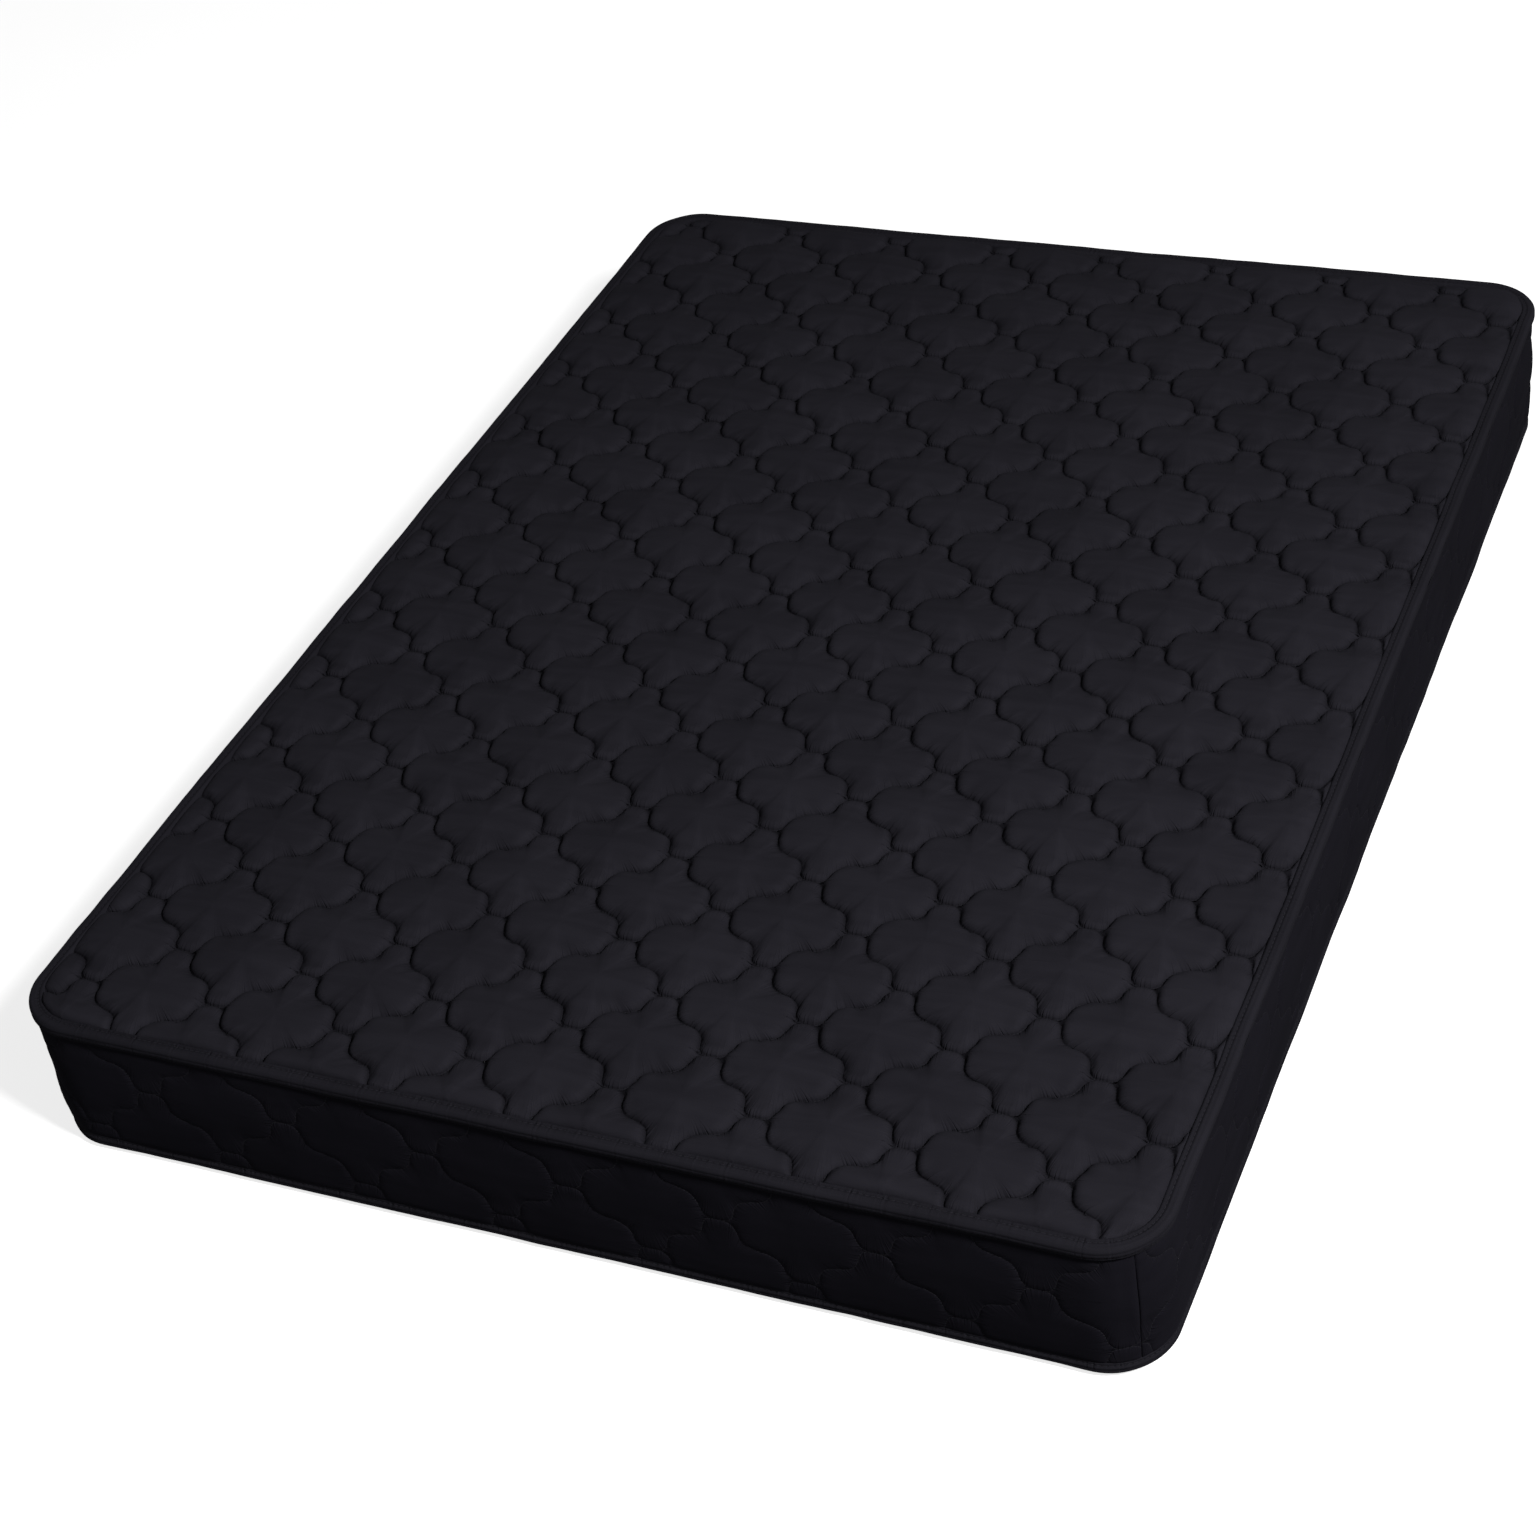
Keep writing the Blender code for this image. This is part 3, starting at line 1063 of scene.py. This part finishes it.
@dataclass
class QuiltedSheet:
    """A flat sheet of quilting with its relief up +Z, before it is laid on the mattress."""

    cells: QuiltCells
    size: Point2
    first: Point2
    thickness: float
    edge_width: float
    edge_sink: float
    relief: float = 1.0
    seed: int = 3

    def build(self) -> bmesh.types.BMesh:
        """Sews the cells together, trims them to size and closes the back.

        Returns:
            The sheet, centred on the origin, its seams at Z = 0.
        """
        bm = bmesh.new()
        pick = random.Random(self.seed)
        for x, y in self.cells.trellis.centres(self.size, self.first):
            cell = pick.choice(self.cells.meshes).copy()
            turn = Matrix.Rotation(math.pi * pick.randrange(2), 4, "Z")
            lift = Matrix.Diagonal((1, 1, self.relief * pick.uniform(0.88, 1.10), 1))
            cell.transform(Matrix.Translation((x, y, 0)) @ turn @ lift)
            bm.from_mesh(cell)
            bpy.data.meshes.remove(cell)
        seams = [vertex for vertex in bm.verts if vertex.is_boundary]
        bmesh.ops.remove_doubles(bm, verts=seams, dist=MEETING_GAP)
        self.trim(bm)
        self.settle_edge(bm)
        self.map_cloth(bm)
        return bm

    def trim(self, bm: bmesh.types.BMesh) -> None:
        """Cuts the sheet to size, and cuts rows for its edge to roll down over.

        Args:
            bm: the sheet.
        """
        for axis in (0, 1):
            for sign in (-1, 1):
                normal = Vector((0, 0, 0))
                normal[axis] = sign
                bisect(bm, normal * self.size[axis] / 2, normal, clear=True)
        for share in (0.12, 0.3, 0.55, 1.0):
            for axis in (0, 1):
                for sign in (-1, 1):
                    normal = Vector((0, 0, 0))
                    normal[axis] = sign
                    bisect(bm, normal * (self.size[axis] / 2 - share * self.edge_width), normal)

    def settle_edge(self, bm: bmesh.types.BMesh) -> None:
        """Rolls the relief down to the sheet's edge, as where a tape holds it.

        Args:
            bm: the sheet.
        """
        half_width, half_length = self.size[0] / 2, self.size[1] / 2
        for vertex in bm.verts:
            inside = min(half_width - abs(vertex.co.x), half_length - abs(vertex.co.y))
            if inside < self.edge_width:
                near = 1 - max(inside, 0.0) / self.edge_width
                kept = math.sqrt(max(0.0, 1 - near**2.2))
                vertex.co.z = vertex.co.z * kept - self.edge_sink * (1 - kept)

    def map_cloth(self, bm: bmesh.types.BMesh) -> None:
        """Writes the cloth map: metres across and along the flat sheet.

        Args:
            bm: the sheet.
        """
        layer = bm.loops.layers.uv[CLOTH_MAP]
        for face in bm.faces:
            for loop in face.loops:
                loop[layer].uv = loop.vert.co.xy

    def close_back(self, bm: bmesh.types.BMesh) -> bmesh.types.BMFace:
        """Gives the sheet its thickness, with one flat face for its back.

        Args:
            bm: the sheet.

        Returns:
            The back.
        """
        rim = [edge for edge in bm.edges if edge.is_boundary]
        wall = bmesh.ops.extrude_edge_only(bm, edges=rim)["geom"]
        for vertex in (item for item in wall if isinstance(item, bmesh.types.BMVert)):
            vertex.co.z = -self.thickness
        hem = [item for item in wall if isinstance(item, bmesh.types.BMEdge) and item.is_boundary]
        return bmesh.ops.contextual_create(bm, geom=hem)["faces"][0]


def cut_into_strips(bm: bmesh.types.BMesh, face: bmesh.types.BMFace, places: Iterable[float]) -> None:
    """Cuts one large face into strips across X, so that it can bend or wrap.

    Args:
        bm: the mesh.
        face: the face.
        places: where along X to cut, in rising order.
    """
    for x in places:
        cut = bmesh.ops.bisect_plane(
            bm,
            geom=list(face.verts) + list(face.edges) + [face],
            dist=1e-6,
            plane_co=(x, 0, 0),
            plane_no=(1, 0, 0),
        )
        faces = [item for item in cut["geom"] if isinstance(item, bmesh.types.BMFace)]
        face = max(faces, key=lambda part: part.calc_center_bounds().x)


@dataclass
class Cover:
    """The sewn cover: two quilted panels, a quilted border and the tape round each rim."""

    rim: Rim
    height: float
    wardrobe: Wardrobe
    trellis: Trellis = field(default_factory=Trellis)
    # Panels: how far inside the rim they end, how deep they reach and where their seams lie
    panel_depth: float = 0.0170
    panel_inner: float = 0.0120
    seam_below_top: float = 0.0090
    panel_edge: float = 0.016
    panel_sink: float = 0.0010
    panel_wave: float = 0.0012
    panel_ripple: float = 0.0007
    first_cell: Point2 = (-0.0297, 0.0223)
    # Border: how far its edges are from the faces, how far inside the rim its seams lie, its cloth
    border_drop: float = 0.0210
    border_depth: float = 0.0066
    border_thickness: float = 0.0036
    border_bulge: float = 0.0030
    border_edge: float = 0.010
    border_sink: float = 0.0008
    border_gap: float = 0.0004
    # How far the border wanders in long waves, in short ones and in the corners' wrinkles
    border_waves: tuple[float, float, float] = (0.0016, 0.0012, 0.0018)
    border_relief: float = 0.18
    border_stretch: float = 1.058
    border_phase: float = -0.0122
    border_nodes: float = 0.119
    # Tape: the roll's radius, how far inside the rim and from the face its middle lies
    tape_radius: float = 0.0103
    tape_depth: float = 0.0100
    tape_drop: float = 0.0125
    lower_tape_tuck: float = 0.0045
    tape_sway: float = 0.0012
    tape_dip: float = 0.0014
    tape_sag: float = 0.0008
    tape_flatness: float = 0.94
    tape_lumps: float = 0.0005
    tape_steps: int = 960
    tape_sections: int = 48
    tape_stitches: int = 916
    tape_squareness: float = 3.6
    # Degrees round the roll, from outwards towards the face, where it is sewn or folded
    tape_seams: tuple[float, ...] = (104.0, -30.0)
    tape_folds: tuple[float, ...] = (138.0, 72.0, 42.0, 8.0)
    # How deep a sewn line and a fold draw the tape in, and over how many degrees
    seam_draw: Point2 = (0.0015, 10.0)
    fold_draw: Point2 = (0.0006, 7.0)
    tape_inset: float = 0.0006

    def build(self) -> list[bpy.types.Object]:
        """Makes every piece of the cover.

        Returns:
            The pieces.
        """
        cells = QuiltCells(self.trellis)
        cells.build()
        sheet = self.panel_sheet(cells)
        pieces = [self.panel(sheet, face) for face in Face]
        bpy.data.meshes.remove(sheet)
        pieces.append(self.border(cells))
        pieces.extend(self.tape(face) for face in Face)
        for mesh in cells.meshes:
            bpy.data.meshes.remove(mesh)
        return pieces

    def panel_sheet(self, cells: QuiltCells) -> bpy.types.Mesh:
        """The mesh of the top panel, which the bottom one shares.

        Args:
            cells: the quilting's cells.

        Returns:
            The mesh, in the top panel's place.
        """
        half_width = self.rim.half_width - self.panel_depth
        half_length = self.rim.half_length - self.panel_depth
        seam_level = self.height - self.seam_below_top
        sheet = QuiltedSheet(
            cells,
            size=(2 * half_width, 2 * half_length),
            first=self.first_cell,
            thickness=seam_level - (self.height - self.panel_inner),
            edge_width=self.panel_edge,
            edge_sink=self.panel_sink,
        )
        bm = sheet.build()
        self.undulate(bm)
        cut_into_strips(bm, sheet.close_back(bm), fold_places())
        self.round_corners(bm, half_width, half_length, self.rim.radius - self.panel_depth)
        bmesh.ops.translate(bm, vec=(0, 0, seam_level), verts=bm.verts[:])
        mesh = bpy.data.meshes.new("panel_sheet")
        bm.to_mesh(mesh)
        bm.free()
        return mesh

    def panel(self, sheet: bpy.types.Mesh, face: Face) -> bpy.types.Object:
        """One quilted panel.

        Args:
            sheet: the top panel's mesh.
            face: the face it covers.

        Returns:
            The panel.
        """
        bm = bmesh.new()
        bm.from_mesh(sheet)
        if face is Face.BOTTOM:
            turn = Matrix.Rotation(math.pi, 3, "X")
            bmesh.ops.rotate(bm, cent=(0, 0, self.height / 2), matrix=turn, verts=bm.verts[:])
            for vertex in bm.verts:
                vertex.co.z = max(vertex.co.z, 0.0)
        piece = new_piece(f"quilted_{face.value}_panel", bm, self.wardrobe.quilted)
        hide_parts(*both_halves(f"{face.value}_panel"))
        bend_across_fold(piece)
        return piece

    def undulate(self, bm: bmesh.types.BMesh) -> None:
        """Lets the top wander slightly, as soft filling does.

        Args:
            bm: the sheet.
        """
        for vertex in bm.verts:
            x, y = vertex.co.xy
            broad = noise.noise(Vector((x * 3.1, y * 3.1, 0.0)))
            fine = noise.noise(Vector((x * 17.0, y * 17.0, 2.0)))
            vertex.co.z += self.panel_wave * broad + self.panel_ripple * fine - self.panel_sink

    def round_corners(
        self, bm: bmesh.types.BMesh, half_width: float, half_length: float, radius: float
    ) -> None:
        """Draws the square corners in to round ones.

        Args:
            bm: the sheet.
            half_width: half its width.
            half_length: half its length.
            radius: the corners' radius.
        """
        for vertex in bm.verts:
            u = (abs(vertex.co.x) - (half_width - radius)) / radius
            v = (abs(vertex.co.y) - (half_length - radius)) / radius
            if u > 0 and v > 0:
                x = half_width - radius + radius * u * math.sqrt(1 - min(v, 1.0) ** 2 / 2)
                y = half_length - radius + radius * v * math.sqrt(1 - min(u, 1.0) ** 2 / 2)
                vertex.co.x = math.copysign(x, vertex.co.x)
                vertex.co.y = math.copysign(y, vertex.co.y)

    @property
    def closing_run(self) -> float:
        """Where along the rim the border's two ends are sewn together, at the foot's right corner."""
        return self.rim.straights[0] + 0.75 * self.rim.radius

    def border(self, cells: QuiltCells) -> bpy.types.Object:
        """The quilted band round the sides, closed by one upright seam.

        Args:
            cells: the quilting's cells.

        Returns:
            The border.
        """
        middle = self.height / 2
        band = self.height - 2 * self.border_drop
        run_length = (self.rim.length - self.border_gap) / self.border_stretch
        sheet = QuiltedSheet(
            cells,
            size=(run_length, band),
            first=(self.border_phase, self.border_nodes - middle),
            thickness=self.border_thickness,
            edge_width=self.border_edge,
            edge_sink=self.border_sink,
            relief=self.border_relief,
            seed=9,
        )
        bm = sheet.build()
        back = sheet.close_back(bm)
        steps = round(run_length / 0.02)
        strips = (run_length * (step / steps - 0.5) for step in range(1, steps))
        cut_into_strips(bm, back, strips)
        for vertex in bm.verts:
            along = vertex.co.x * self.border_stretch
            run = self.closing_run + self.rim.length / 2 + along
            place, out = self.rim.at(run)
            rise = 2 * vertex.co.y / band
            depth = self.border_depth - self.border_swell(place, rise, self.rim.corner_nearness(run))
            flat = place - out * (depth - vertex.co.z)
            vertex.co = (flat.x, flat.y, middle + vertex.co.y)
        bmesh.ops.recalc_face_normals(bm, faces=bm.faces[:])
        piece = new_piece("quilted_border", bm, self.wardrobe.border)
        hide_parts(*both_halves("border"))
        bend_across_fold(piece)
        return piece

    def border_swell(self, place: Vector, rise: float, corner: float) -> float:
        """How far the border stands out, with its slack and its wrinkles at the corners.

        Args:
            place: the point on the rim.
            rise: from -1 at its lower edge to 1 at its upper one.
            corner: 1 in the middle of a rounded corner, 0 away from it.

        Returns:
            The swell in metres.
        """
        broad = noise.noise(Vector((place.x * 5.0, place.y * 5.0, rise * 0.5)))
        slack = noise.noise(Vector((place.x * 16.0, place.y * 16.0, rise * 1.1 + 7.0)))
        folds = noise.noise(Vector((place.x * 60.0, place.y * 60.0, rise * 1.6 + 3.0)))
        held = 1 - rise * rise
        waves = zip(self.border_waves, (broad, slack, corner * folds))
        return held * (self.border_bulge + sum(reach * wave for reach, wave in waves))

    def tape(self, face: Face) -> bpy.types.Object:
        """The binding tape rolled round one rim, sewn along both its edges.

        Args:
            face: the face whose rim it binds.

        Returns:
            The tape.
        """
        bm = bmesh.new()
        bmesh.ops.create_grid(
            bm, x_segments=self.tape_steps, y_segments=self.tape_sections, size=0.5
        )
        self.map_tape(bm)
        sign = 1 if face is Face.TOP else -1
        level = self.height - self.tape_drop if face is Face.TOP else self.tape_drop
        tuck = 0.0 if face is Face.TOP else self.lower_tape_tuck
        for vertex in bm.verts:
            run = (vertex.co.x + 0.5) * self.rim.length
            angle = (vertex.co.y + 0.5) * math.tau
            place, out = self.rim.at(run)
            radius = self.roll_radius(place, angle, sign)
            sway = noise.noise(Vector((place.x * 8.0, place.y * 8.0, 11.0 * sign)))
            dip = noise.noise(Vector((place.x * 5.0, place.y * 5.0, 31.0 * sign)))
            depth = self.tape_depth + tuck + self.tape_sway * sway - radius * math.cos(angle)
            flat = place - out * depth
            rise = radius * math.sin(angle) * self.tape_flatness + self.tape_dip * dip - self.tape_sag
            vertex.co = (flat.x, flat.y, level + sign * rise)
        bmesh.ops.remove_doubles(bm, verts=bm.verts[:], dist=MEETING_GAP / 10)
        bmesh.ops.recalc_face_normals(bm, faces=bm.faces[:])
        piece = new_piece(f"{face.value}_binding_tape", bm, self.wardrobe.tape)
        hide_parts(*both_halves(f"{face.value}_tape"))
        bend_across_fold(piece)
        return piece

    def roll_radius(self, place: Vector, angle: float, sign: int) -> float:
        """The tape's radius at one place on its section, drawn in where it is sewn and folded.

        Args:
            place: the point on the rim.
            angle: the angle round the section, from outwards towards the face.
            sign: 1 on the top rim and -1 on the bottom one.

        Returns:
            The radius in metres.
        """
        power = self.tape_squareness
        spread = abs(math.cos(angle)) ** power + abs(math.sin(angle)) ** power
        square = spread ** (-1 / power)
        turned = math.degrees(angle)
        lumps = noise.noise(Vector((place.x * 30.0, place.y * 30.0, turned / 90.0 + 20.0 * sign)))
        drawn_in = 0.0
        for line in (*self.tape_seams, *self.tape_folds):
            depth, width = self.seam_draw if line in self.tape_seams else self.fold_draw
            away = (turned - line + 180) % 360 - 180
            drawn_in += depth * math.exp(-((away / width) ** 2))
        return (self.tape_radius - self.tape_inset) * square + self.tape_lumps * lumps - drawn_in

    def map_tape(self, bm: bmesh.types.BMesh) -> None:
        """Writes the tape's cloth map and its seam map, for a stitched line along each edge.

        Args:
            bm: the flat grid, half a unit each way.
        """
        cloth = bm.loops.layers.uv.new(CLOTH_MAP)
        seam = bm.loops.layers.uv.new(SEAM_MAP)
        for face in bm.faces:
            for loop in face.loops:
                along, round_it = loop.vert.co.x + 0.5, loop.vert.co.y + 0.5
                gap = min(
                    abs((round_it * 360 - line + 180) % 360 - 180) for line in self.tape_seams
                )
                loop[cloth].uv = (along * self.rim.length, round_it * math.tau * self.tape_radius)
                loop[seam].uv = (along * self.tape_stitches, math.radians(gap) * self.tape_radius)


@dataclass
class Core:
    """The layers inside the cover: foams, felts and rails, and the rows of coils between them."""

    rim: Rim
    height: float
    wardrobe: Wardrobe
    grid: float = 0.06
    edge_round: float = 0.004
    unevenness: float = 0.0003

    def build(self) -> list[bpy.types.Object]:
        """Makes the layers that cross the fold and the rails, and dresses the coils.

        Returns:
            The pieces.
        """
        pieces = []
        for face in Face:
            pieces.append(self.layer(f"{face.value}_foam", self.wardrobe.comfort_foam, "comfort_foam"))
            pieces.append(self.layer(f"{face.value}_pad", self.wardrobe.felt, "felt_pad"))
        pieces.extend(self.end_rail(end) for end in End)
        pieces.extend(self.side_rail(sign) for sign in (-1, 1))
        for name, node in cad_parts.items():
            if name.startswith("coil_string"):
                for slot in node.material_slots:
                    slot.material = self.wardrobe.nonwoven
        return pieces

    def slab(self, nodes: tuple[str, ...]) -> bmesh.types.BMesh:
        """A level slab with the rim's outline, as large as some CAD nodes' common box.

        Args:
            nodes: the CAD nodes it stands for.

        Returns:
            The slab.
        """
        boxes = [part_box(node) for node in nodes]
        low = [min(box[0][axis] for box in boxes) for axis in range(3)]
        high = [max(box[1][axis] for box in boxes) for axis in range(3)]
        depth = min(self.rim.half_width - max(-low[0], high[0]), self.rim.half_length - high[1])
        outline = self.rim.outline(max(depth, 0.0))
        bm = bmesh.new()
        bmesh.ops.create_circle(bm, cap_ends=True, segments=len(outline), radius=self.grid)
        bm.verts.ensure_lookup_table()
        for vertex, place in zip(bm.faces[:][0].verts, outline):
            vertex.co = (*place, low[2])
        lifted = bmesh.ops.extrude_face_region(bm, geom=bm.faces[:])["geom"]
        upper = [item for item in lifted if isinstance(item, bmesh.types.BMVert)]
        bmesh.ops.translate(bm, vec=(0, 0, high[2] - low[2]), verts=upper)
        return bm

    def finish(
        self, bm: bmesh.types.BMesh, name: str, look: bpy.types.Material, nodes: tuple[str, ...]
    ) -> bpy.types.Object:
        """Rounds a slab's edges, gives its faces a soft unevenness and dresses it.

        Args:
            bm: the slab.
            name: the piece's name.
            look: its finish.
            nodes: the CAD nodes it stands for.

        Returns:
            The piece.
        """
        bmesh.ops.recalc_face_normals(bm, faces=bm.faces[:])
        levels = [vertex.co.z for vertex in bm.verts]
        thickness = max(levels) - min(levels)
        sharp = [edge for edge in bm.edges if edge.calc_face_angle(0.0) > math.radians(60)]
        bmesh.ops.bevel(
            bm,
            geom=sharp,
            offset=min(0.3 * thickness, self.edge_round),
            segments=3,
            profile=0.5,
            affect="EDGES",
            material=-1,
        )
        self.cut_grid(bm)
        middle = (min(levels) + max(levels)) / 2
        for vertex in bm.verts:
            x, y, z = vertex.co
            uneven = noise.noise(Vector((x * 9.0, y * 9.0, z * 9.0)))
            vertex.co.z += self.unevenness * uneven * (1 if z > middle else -1)
        piece = new_piece(name, bm, look)
        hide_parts(*nodes)
        return piece

    def cut_grid(self, bm: bmesh.types.BMesh) -> None:
        """Cuts a slab into a grid, closer across the fold.

        Args:
            bm: the slab.
        """
        places = [vertex.co.copy() for vertex in bm.verts]
        for axis in (0, 1):
            low = min(place[axis] for place in places)
            high = max(place[axis] for place in places)
            normal = Vector((axis == 0, axis == 1, 0))
            count = math.ceil((high - low) / self.grid)
            for step in range(1, count):
                bisect(bm, normal * (low + (high - low) * step / count), normal)
        if min(place.x for place in places) < 0 < max(place.x for place in places):
            fold_cuts(bm)

    def layer(self, name: str, look: bpy.types.Material, slot: str) -> bpy.types.Object:
        """One full-size layer that crosses the fold.

        Args:
            name: the layer's name.
            look: its finish.
            slot: the record's material slot; not used.

        Returns:
            The piece.
        """
        nodes = both_halves(name)
        piece = self.finish(self.slab(nodes), f"{name}_layer", look, nodes)
        bend_across_fold(piece)
        return piece

    def end_rail(self, end: End) -> bpy.types.Object:
        """The foam rail along one end, which crosses the fold.

        Args:
            end: the end it stands at.

        Returns:
            The rail.
        """
        name = f"{end.name.lower()}_rail"
        nodes = both_halves(name)
        low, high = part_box(nodes[0])
        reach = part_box(nodes[1])[1][0]
        bm = self.block((-reach, low[1], low[2]), (reach, high[1], high[2]))
        piece = self.finish(bm, f"{name}_foam", self.wardrobe.rail_foam, nodes)
        bend_across_fold(piece)
        return piece

    def side_rail(self, sign: int) -> bpy.types.Object:
        """The foam rail along one side, rounded at its two outer corners.

        Args:
            sign: -1 for the seat's side and 1 for the back's.

        Returns:
            The rail.
        """
        half = "seat" if sign < 0 else "back"
        node = f"side_rail_{half}"
        low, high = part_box(node)
        bm = self.slab((node,))
        inner = Vector(((high[0] if sign < 0 else low[0]), 0, 0))
        bisect(bm, inner, Vector((-sign, 0, 0)), clear=True)
        bmesh.ops.holes_fill(bm, edges=[edge for edge in bm.edges if edge.is_boundary])
        piece = self.finish(bm, f"{node}_foam", self.wardrobe.rail_foam, (node,))
        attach(piece, SEAT_BODY if sign < 0 else BACK_BODY)
        return piece

    def block(self, low: tuple[float, ...], high: tuple[float, ...]) -> bmesh.types.BMesh:
        """A box between two corners.

        Args:
            low: its lowest corner.
            high: its highest corner.

        Returns:
            The box.
        """
        size = Vector(high) - Vector(low)
        middle = (Vector(high) + Vector(low)) / 2
        place = Matrix.Translation(middle) @ Matrix.Diagonal((*size, 1))
        bm = bmesh.new()
        bmesh.ops.create_cube(bm, size=1.0, matrix=place)
        return bm


# ---------------------------------------------------------------------------------------------
# The studio
# ---------------------------------------------------------------------------------------------


@dataclass(frozen=True)
class Studio:
    """A pale floor, soft light from above and the camera."""

    camera_place: tuple[float, float, float] = (1.3742, -2.8721, 2.4730)
    azimuth: float = 28.08
    elevation: float = 38.17
    roll: float = -9.16
    lens: float = 71.60
    lamp_place: tuple[float, float, float] = (3.3, -1.9, 3.9)
    lamp_size: float = 0.7
    lamp_power: float = 190.0
    room_light: float = 0.06
    horizon_light: float = 0.26
    floor_glow: float = 0.86
    floor_gap: float = 0.0005

    def build(self) -> None:
        """Makes the floor, the light and the camera."""
        self.floor()
        self.light()
        self.camera()

    def floor(self) -> None:
        """Lays a pale floor under the mattress."""
        bm = bmesh.new()
        bmesh.ops.create_grid(bm, x_segments=2, y_segments=2, size=40.0)
        bmesh.ops.translate(bm, vec=(0, 0, -self.floor_gap), verts=bm.verts[:])
        material = bpy.data.materials.new("pale_floor")
        material.use_nodes = True
        graph = Graph(material.node_tree)
        shader = graph.tree.nodes["Principled BSDF"]
        place = graph.node("ShaderNodeTexCoord").outputs["Object"]
        tone = graph.node("ShaderNodeTexNoise", {"Vector": place, "Scale": 2.0, "Detail": 2.0})
        colour = graph.mix(tone.outputs[0], (0.90, 0.90, 0.90), (0.92, 0.92, 0.92))
        graph.feed(shader.inputs["Base Color"], colour)
        graph.feed(shader.inputs["Emission Color"], colour)
        shader.inputs["Emission Strength"].default_value = self.floor_glow
        shader.inputs["Roughness"].default_value = 0.9
        floor = new_piece("floor", bm, material)
        floor.visible_diffuse = False
        floor.visible_glossy = False

    def light(self) -> None:
        """Lights the mattress from high on its right, in a room that looks white and glows level."""
        world = bpy.data.worlds.new("room")
        bpy.context.scene.world = world
        world.use_nodes = True
        graph = Graph(world.node_tree)
        rays = graph.node("ShaderNodeLightPath")
        way = graph.node("ShaderNodeTexCoord").outputs["Generated"]
        rise = graph.node("ShaderNodeSeparateXYZ", {0: way}).outputs[2]
        level = graph.math("ABSOLUTE", rise)
        room = graph.between(level, 0.05, 0.45, self.horizon_light, self.room_light)
        strength = graph.math("MAXIMUM", rays.outputs["Is Camera Ray"], room)
        graph.feed(graph.tree.nodes["Background"].inputs["Strength"], strength)
        graph.feed(graph.tree.nodes["Background"].inputs["Color"], (1.0, 1.0, 1.0))
        lamp = bpy.data.lights.new("overhead", "AREA")
        lamp.energy = self.lamp_power
        lamp.size = self.lamp_size
        holder = bpy.data.objects.new("overhead", lamp)
        holder.location = self.lamp_place
        holder.rotation_euler = (-Vector(self.lamp_place)).to_track_quat("-Z", "Y").to_euler()
        bpy.context.scene.collection.objects.link(holder)

    def camera(self) -> None:
        """Points the camera at the mattress from above its near right corner."""
        a, e, r = (math.radians(angle) for angle in (self.azimuth, self.elevation, self.roll))
        back = Vector((math.sin(a) * math.cos(e), -math.cos(a) * math.cos(e), math.sin(e)))
        level = Vector((math.cos(a), math.sin(a), 0))
        upright = back.cross(level)
        right = level * math.cos(r) + upright * math.sin(r)
        turn = Matrix((right, back.cross(right), back)).transposed()
        data = bpy.data.cameras.new("camera")
        data.lens = self.lens
        data.sensor_width = 36.0
        holder = bpy.data.objects.new("camera", data)
        holder.matrix_world = Matrix.Translation(self.camera_place) @ turn.to_4x4()
        bpy.context.scene.collection.objects.link(holder)
        bpy.context.scene.camera = holder
        bpy.context.scene.view_settings.view_transform = "Standard"


def main() -> None:
    """Builds the cover, the core and the studio."""
    logging.basicConfig(level=logging.INFO, format="%(name)s: %(message)s")
    low, high = CAD_BOUNDS
    rim = Rim(high[0], high[1], CORNER_RADIUS)
    wardrobe = Wardrobe()
    height = high[2] - low[2]
    for assembly in (Cover(rim, height, wardrobe), Core(rim, height, wardrobe)):
        for piece in assembly.build():
            log.info("%s: %d faces", piece.name, len(piece.data.polygons))
    Studio().build()


if __name__ == "__main__":
    main()
